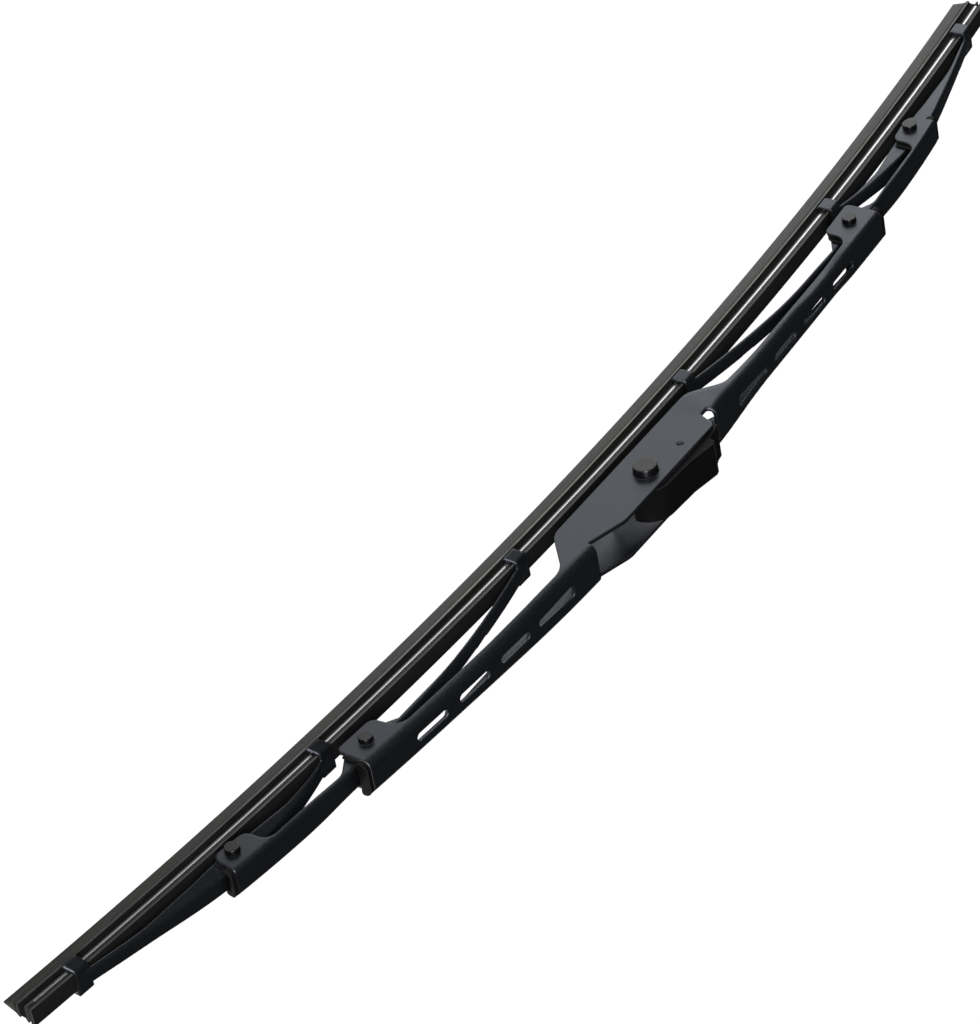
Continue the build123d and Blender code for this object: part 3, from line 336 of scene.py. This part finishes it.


# %% [markdown]
# The bridges and end yokes are pressed sheet steel under satin black powder paint.
# Powder paint dries with a fine orange-peel skin, here a noise with grains of about half
# a millimetre, and it mirrors the floor in a cool grey. Painted shade takes the shine away
# where the surface is closed in. On the left arm and in the middle, a light grey painted
# into those closed-in places stands for the light that reaches them. A painted highlight
# makes the paint a little lighter along the edges.

# %% Satin black paint
FULL_SHINE = 0.5
SHADED_SHINE, SHADE_REACH, SHADED_AT, OPEN_AT = 0.12, 0.0095, 0.3, 0.75
PAINTED_LIGHT_REACH, PAINTED_LIGHT_STARTS_AT, PAINTED_LIGHT_FULL_AT = 0.014, 0.66, 0.38
NO_LIGHT_X, FULL_LIGHT_X = -0.022, -0.006
PAINTED_LIGHT_GREY = (0.22, 0.23, 0.245)
paint, tree, shader, coords = new_finish("satin_black_paint", roughness=0.38, rough_range=0.05,
                                         grain=1800, bump=0.06, edge_round=0.0006)
colour = cloudy_colour(tree, shader, coords, scale=40,
                       dark=(0.0030, 0.0034, 0.0042), light=(0.0052, 0.0056, 0.0066))
# painted highlight along the edges
lit_edges = highlighted_edges(tree, shader, colour, (0.02, 0.021, 0.023))
# painted shade: less shine where the surface is closed in
shine = closed_in(tree, SHADE_REACH, SHADED_AT, OPEN_AT, SHADED_SHINE, FULL_SHINE)
tree.links.new(shine, shader.inputs["Specular IOR Level"])
# painted light: a light grey in closed-in places on the left arm and in the middle
recess_share = closed_in(tree, PAINTED_LIGHT_REACH, PAINTED_LIGHT_STARTS_AT, PAINTED_LIGHT_FULL_AT)
lit_part = along_blade(tree, coords, NO_LIGHT_X, FULL_LIGHT_X)
painted_light_mix = overlaid(tree, combined(tree, "MULTIPLY", recess_share, lit_part), lit_edges, PAINTED_LIGHT_GREY)
painted_light_mix.name = "painted_light"
tree.links.new(painted_light_mix.outputs[MIX_RESULT], shader.inputs["Base Color"])
shader.inputs["IOR"].default_value = 2.2
shader.inputs["Specular Tint"].default_value = (0.82, 0.88, 1.0, 1)

# %% [markdown]
# The right arm of the main bridge is folded over a rounder tool than the rest, so its
# rounding is wider and its side rolls up into the top: there the shading leans upwards.
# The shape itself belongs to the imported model, so the roll is given by the paint alone,
# in a copy of the base paint that follows the length of the arm.

# %% Paint on the main bridge
SQUARE_FOLD, ROUND_FOLD, ARM_LEAN = 0.0006, 0.0022, 0.35
ARM_ROOT, ARM_TIP = (-0.024, -0.038), (-0.090, -0.080)


def lean_upwards(tree, share):
    upwards = tree.nodes.new("ShaderNodeCombineXYZ")
    tree.links.new(share, upwards.inputs["Z"])
    leaning = directed(tree, "ADD", tree.nodes["rounding"].outputs["Normal"], upwards.outputs[0])
    even = directed(tree, "NORMALIZE", leaning)
    tree.links.new(even, tree.nodes["Bump"].inputs["Normal"])


def dress(finish, *names):
    for name in names:
        piece = nodes[name]
        piece.data.materials.clear()
        piece.data.materials.append(finish)
    print(finish.name, "on", len(names), "pieces")


main_paint = paint.copy()
main_paint.name = "satin_black_paint_main"
tree = main_paint.node_tree
coords = tree.nodes["Texture Coordinate"].outputs["Object"]
on_arm = combined(tree, "MINIMUM", along_blade(tree, coords, *ARM_ROOT),
                  along_blade(tree, coords, *ARM_TIP))
fold = rescaled(tree, on_arm, 0.0, 1.0, SQUARE_FOLD, ROUND_FOLD)
tree.links.new(fold, tree.nodes["rounding"].inputs["Radius"])
lean_upwards(tree, rescaled(tree, on_arm, 0.0, 1.0, 0.0, ARM_LEAN))
dress(main_paint, "primary_bridge")

# %% [markdown]
# The second bridges and the yokes are folded from narrower strip, so that their sides roll
# into the top with hardly a flat. The paint is the same, mostly with a wider rounding, and
# the shading of the sides leans upwards as well, more on the left, where the sides are the
# rounder ones. The flat ears of the second bridges don't lean, so each span below says
# where along the blade the lean sets in. The painted light in closed-in places is left off
# on these narrow pieces.

# %% Paint on the narrow bridges
WIDE_FOLD = 0.0010
WHOLE_LENGTH = (-1.0, -0.9)


def leaning_paint(name, amount, rounding, span):
    leaning = paint.copy()
    leaning.name = f"satin_black_paint_{name}"
    tree = leaning.node_tree
    # leave off the painted light that the base paint lays into closed-in places
    painted_light_share = tree.nodes["painted_light"].inputs[MIX_SHARE]
    tree.links.remove(painted_light_share.links[0])
    painted_light_share.default_value = 0
    tree.nodes["rounding"].inputs["Radius"].default_value = rounding
    coords = tree.nodes["Texture Coordinate"].outputs["Object"]
    lean_upwards(tree, along_blade(tree, coords, *span, 0.0, amount))
    return leaning


narrow_pieces = [
    ("secondary_bridge_left", "left_bridge", 0.5, WIDE_FOLD, (0.102, 0.088)),
    ("secondary_bridge_right", "right_bridge", 0.3, WIDE_FOLD, (-0.152, -0.140)),
    ("end_yoke_left", "left_yoke", 0.8, WIDE_FOLD, WHOLE_LENGTH),
    ("end_yoke_right", "right_yoke", 0.15, SQUARE_FOLD, WHOLE_LENGTH),
]
for node, name, amount, rounding, span in narrow_pieces:
    dress(leaning_paint(name, amount, rounding, span), node)

# %% [markdown]
# Rivets and the cross pin are steel, headed after painting and touched in black, so they
# are a little smoother than the sheet round them. The skirts, which stand close to the sheet,
# get painted shade that takes their shine away, and a painted highlight lightens the rims.

# %% Rivet paint
SKIRT_SHINE, SKIRT_REACH, SKIRT_AT, FACE_AT = 0.04, 0.004, 0.6, 0.95
rivet_black, tree, shader, coords = new_finish("rivet_black", roughness=0.26, rough_range=0.05,
                                               grain=900, bump=0.015, edge_round=0.0002)
colour = cloudy_colour(tree, shader, coords, scale=90,
                       dark=(0.004, 0.004, 0.005), light=(0.007, 0.007, 0.008))
# painted highlight on the rims
highlighted_edges(tree, shader, colour, (0.22, 0.22, 0.225))
shader.inputs["IOR"].default_value = 1.82
# painted shade: the skirts lose their shine
skirt = closed_in(tree, SKIRT_REACH, SKIRT_AT, FACE_AT, SKIRT_SHINE, FULL_SHINE)
tree.links.new(skirt, shader.inputs["Specular IOR Level"])
dress(rivet_black, "centre_pin", "bridge_rivet_left", "bridge_rivet_right",
      "yoke_rivet_left", "yoke_rivet_right")

# %% [markdown]
# The bearings between the bridges and the hook adapter are moulded black plastic with the
# faint spark texture of the mould. It is duller than the paint, and a painted highlight
# lightens its edges.

# %% Moulded black plastic
plastic, tree, shader, coords = new_finish("moulded_black_plastic", roughness=0.48,
                                           rough_range=0.06, grain=2600, bump=0.08,
                                           edge_round=0.0003)
colour = cloudy_colour(tree, shader, coords, scale=60,
                       dark=(0.007, 0.0066, 0.0072), light=(0.0105, 0.0098, 0.0106))
# painted highlight along the edges
highlighted_edges(tree, shader, colour, (0.09, 0.09, 0.092))
shader.inputs["Specular IOR Level"].default_value = 0.2
dress(plastic, "bridge_liner_left", "bridge_liner_right", "yoke_liner_left", "yoke_liner_right",
      "hook_adapter")

# %% [markdown]
# The wiping strip is extruded rubber with a graphite finish: near black with a trace of
# olive on its back and greyer on the lip. Each point of the strip carries its height above
# the wiping edge, and a colour ramp over that height paints the bands. Among them are painted
# highlights on the shoulders of the profile and on the head's upper edge, and painted shade in
# the neck and the deep groove. The painted highlights are capped lower towards the near
# end. A second ramp takes the shine out of the deep groove as painted shade. A noise drawn
# out along the strip adds the fine lines of the extrusion.

# %% Graphite rubber
PROFILE_HEIGHT = 0.011
OLIVE = 0.94
DRAWN_OUT = (60, 2500, 2500)
STREAK_DARK, STREAK_LIGHT = 0.7, 1.35
BRIGHT_CAP_X, LOW_CAP_X, BRIGHT_CAP_GREY, LOW_CAP_GREY = 0.05, 0.18, 0.34, 0.085
# painted highlights at 0.453 and 0.965 of the height, painted shade in the neck and the groove
light_and_shade_bands = [
    (0.0, 0.08), (0.36, 0.08), (0.40, 0.02), (0.44, 0.02), (0.453, 0.32), (0.508, 0.32),
    (0.52, 0.014), (0.735, 0.014), (0.745, 0.09), (0.79, 0.09), (0.82, 0.03), (0.95, 0.03),
    (0.965, 0.16), (0.985, 0.16), (0.99, 0.016),
]
groove_shine = [(0.0, 0.5), (0.51, 0.5), (0.52, 0.04), (0.735, 0.04), (0.745, 0.5)]
rubber, tree, shader, coords = new_finish("graphite_rubber", roughness=0.44, rough_range=0.06,
                                          grain=1500, bump=0.08, edge_round=0)
height = tree.nodes.new("ShaderNodeAttribute")
height.attribute_name = "height"
level = rescaled(tree, height.outputs["Fac"], 0.0, PROFILE_HEIGHT)
painted_bands = colour_ramp(tree, level, [(at, (grey, grey, OLIVE * grey)) for at, grey in light_and_shade_bands])
gloss = colour_ramp(tree, level, [(at, (share, share, share)) for at, share in groove_shine])
tree.links.new(gloss, shader.inputs["Specular IOR Level"])
drawn = tree.nodes.new("ShaderNodeMapping")
drawn.inputs["Scale"].default_value = DRAWN_OUT
tree.links.new(coords, drawn.inputs["Vector"])
lines = tree.nodes.new("ShaderNodeTexNoise")
lines.inputs["Scale"].default_value = 1
lines.inputs["Detail"].default_value = 3
tree.links.new(drawn.outputs["Vector"], lines.inputs["Vector"])
streak = rescaled(tree, lines.outputs["Fac"], *NOISE_SPREAD, STREAK_DARK, STREAK_LIGHT)
# caps the painted highlights lower towards the near end
highlight_cap = along_blade(tree, coords, BRIGHT_CAP_X, LOW_CAP_X, BRIGHT_CAP_GREY, LOW_CAP_GREY)
capped = directed(tree, "MINIMUM", painted_bands, highlight_cap)
streaked = directed(tree, "SCALE", capped, streak)
tree.links.new(streaked, shader.inputs["Base Color"])
print("stops in the bands:", len(light_and_shade_bands))

# %% [markdown]
# The two spring strips in the rubber's back are bright rolled steel. Rolled strip is never
# quite even, so it gets the same fine noise and soft clouds as the other finishes.

# %% Bright spring steel
steel, tree, shader, coords = new_finish("bright_spring_steel", roughness=0.30, rough_range=0.05,
                                         grain=1200, bump=0.005, edge_round=0)
cloudy_colour(tree, shader, coords, scale=120, dark=(0.90, 0.91, 0.92), light=(0.96, 0.96, 0.97))
shader.inputs["Metallic"].default_value = 1

# %% [markdown]
# The rubber is one extrusion, so its section is drawn once and spun along the bow of the
# claws, a large arc whose centre lies far below the blade. A profile is in millimetres:
# distance from the middle, then height above the wiping edge. It starts as a ring of
# points, which are moved to the profile's corners, and some corners are then rounded by a
# bevel, while the section is still flat and its corners are easy to select by place.

# %% Helpers that draw a section
PIN_HEIGHT = 0.0247
START_RADIUS = 0.003
SAME_PLACE_MM = 1e-3


def drawn_section(name, outline):
    deselect_all()
    bpy.ops.mesh.primitive_circle_add(vertices=len(outline), radius=START_RADIUS,
                                      fill_type="NGON")
    section = bpy.context.object
    section.name = name
    ring = section.data.polygons[0].vertices
    for corner, (y, h) in zip(ring, outline):
        place = (0, y / MM_PER_M, h / MM_PER_M - PIN_HEIGHT)
        section.data.vertices[corner].co = place
    return section


def round_corners(section, width, corners):
    for v in section.data.vertices:
        here = Vector((MM_PER_M * v.co.y, MM_PER_M * (v.co.z + PIN_HEIGHT)))
        v.select = any((here - Vector(c)).length < SAME_PLACE_MM for c in corners)
    bpy.ops.object.mode_set(mode="EDIT")
    bpy.ops.mesh.select_mode(type="VERT")
    bpy.ops.mesh.bevel(offset=width / MM_PER_M, segments=4, affect="VERTICES")
    bpy.ops.object.mode_set(mode="OBJECT")
    for part in (section.data.edges, section.data.polygons, section.data.vertices):
        part.foreach_set("select", [False] * len(part))


# %% [markdown]
# The spin sweeps the section along the arc in short steps. Only one half of each strip is
# made; the other is its mirror. A spin can leave doubled points and turn faces inwards, so
# the doubles are merged and the normals recalculated before the shading is smoothed.

# %% Spin one half of the rubber strip
EDGE_RADIUS = 1.760
HALF_LENGTH = 0.23999
BOW_STEPS = 96
BOW_CENTRE = (0, 0, -EDGE_RADIUS - PIN_HEIGHT)
SMOOTH_ANGLE = math.radians(40)
HEAD_ROUND, LOBE_ROUND = 0.4, 0.1
half_profile = [
    (0.35, 0.0), (1.5, 4.05), (1.5, 4.35), (0.7, 4.6), (0.7, 4.9),
    (2.5, 5.0), (2.5, 5.6), (1.6, 6.0), (1.6, 8.2), (2.75, 8.2), (2.75, 8.65),
    (1.45, 8.65), (1.45, 9.55), (2.98, 9.55), (2.98, 10.95),
]


def spun_strip(name, outline, rounds, length):
    strip = drawn_section(name, outline)
    for width, corners in rounds:
        round_corners(strip, width, corners)
    bpy.ops.object.mode_set(mode="EDIT")
    bpy.ops.mesh.select_all(action="SELECT")
    bpy.ops.mesh.spin(steps=BOW_STEPS, angle=-length / EDGE_RADIUS, center=BOW_CENTRE,
                      axis=(0, 1, 0))
    bpy.ops.mesh.select_all(action="SELECT")
    bpy.ops.mesh.remove_doubles(threshold=1e-6)
    bpy.ops.mesh.normals_make_consistent(inside=False)
    bpy.ops.object.mode_set(mode="OBJECT")
    bpy.ops.object.shade_smooth_by_angle(angle=SMOOTH_ANGLE)
    far_x = max(v.co.x for v in strip.data.vertices)
    print(name, len(strip.data.vertices), "points, x to", round(far_x, 4))
    return strip


whole_profile = half_profile + [(-y, h) for y, h in reversed(half_profile)]
head_corners = [(s * 2.98, 10.95) for s in (1, -1)]
lobe_corners = [(s * y, h) for s in (1, -1) for y, h in ((2.5, 5.0), (2.5, 5.6), (2.75, 8.2))]
rubber_rounds = [(HEAD_ROUND, head_corners), (LOBE_ROUND, lobe_corners)]
rubber_half = spun_strip("rubber_half", whole_profile, rubber_rounds, HALF_LENGTH)

# %% [markdown]
# Each spring strip is a flat bar with eased edges. It lies in the slot on one side of the
# rubber's head, a little shorter than the rubber, and is spun along the same bow.

# %% Spin the spring strips
SPLINE_HALF = 0.2373
EASED_EDGE = 0.15
far_bar = [(1.55, 8.72), (2.9, 8.72), (2.9, 9.48), (1.55, 9.48)]
near_bar = [(-y, h) for y, h in far_bar]
far_half = spun_strip("far_half", far_bar, [(EASED_EDGE, far_bar)], SPLINE_HALF)
near_half = spun_strip("near_half", near_bar, [(EASED_EDGE, near_bar)], SPLINE_HALF)

# %% [markdown]
# When the bridges rock on their rivets, the strip bends with the claws that hold it.
# Each half is cut in two between its first and second claw, because a length can bend
# between two bodies only. The cut is a bisect that keeps one side and closes the end.
# Every point keeps its height above the wiping edge for the rubber's colour bands.

# %% Helper that cuts one length
CUT_X = 0.086


def length_of_strip(half, name, inner, mirrored):
    deselect_all()
    length = half.copy()
    length.data = half.data.copy()
    length.name = name
    bpy.context.scene.collection.objects.link(length)
    bpy.context.view_layer.objects.active = length
    length.select_set(True)
    bpy.ops.object.mode_set(mode="EDIT")
    bpy.ops.mesh.select_all(action="SELECT")
    bpy.ops.mesh.bisect(plane_co=(CUT_X, 0, 0), plane_no=(1, 0, 0), use_fill=True,
                        clear_inner=not inner, clear_outer=inner)
    bpy.ops.object.mode_set(mode="OBJECT")
    if mirrored:
        length.scale.x = -1
        bpy.ops.object.transform_apply(location=False, rotation=False, scale=True)
        bpy.ops.object.mode_set(mode="EDIT")
        bpy.ops.mesh.select_all(action="SELECT")
        bpy.ops.mesh.normals_make_consistent(inside=False)
        bpy.ops.object.mode_set(mode="OBJECT")
    bpy.ops.object.shade_smooth_by_angle(angle=SMOOTH_ANGLE)
    height = length.data.attributes.new("height", "FLOAT", "POINT")
    for v in length.data.vertices:
        height.data[v.index].value = math.hypot(v.co.x, v.co.z - BOW_CENTRE[2]) - EDGE_RADIUS
    print(name, len(length.data.vertices), "points")
    return length


# %% [markdown]
# The inner length runs from the main bridge to the second bridge, and the outer length
# from there to the end yoke. Each stands for the strip of the imported model that it
# replaces and gets the finish made above for it. The uncut halves are no longer needed.

# %% Cut the strips
strips = [(rubber_half, "rubber", "wiper_rubber", rubber, "blade_rubber"),
          (near_half, "near_spring", "spline_near", steel, "spline_steel"),
          (far_half, "far_spring", "spline_far", steel, "spline_steel")]
for half, name, node, finish, slot in strips:
    for side, sign in (("left", 1), ("right", -1)):
        inner = length_of_strip(half, f"{name}_{side}_inner", True, sign < 0)
        outer = length_of_strip(half, f"{name}_{side}_outer", False, sign < 0)
        for length in (inner, outer):
            length.data.materials.append(finish)
            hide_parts(node)
        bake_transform(inner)
        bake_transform(outer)
    bpy.data.objects.remove(half)
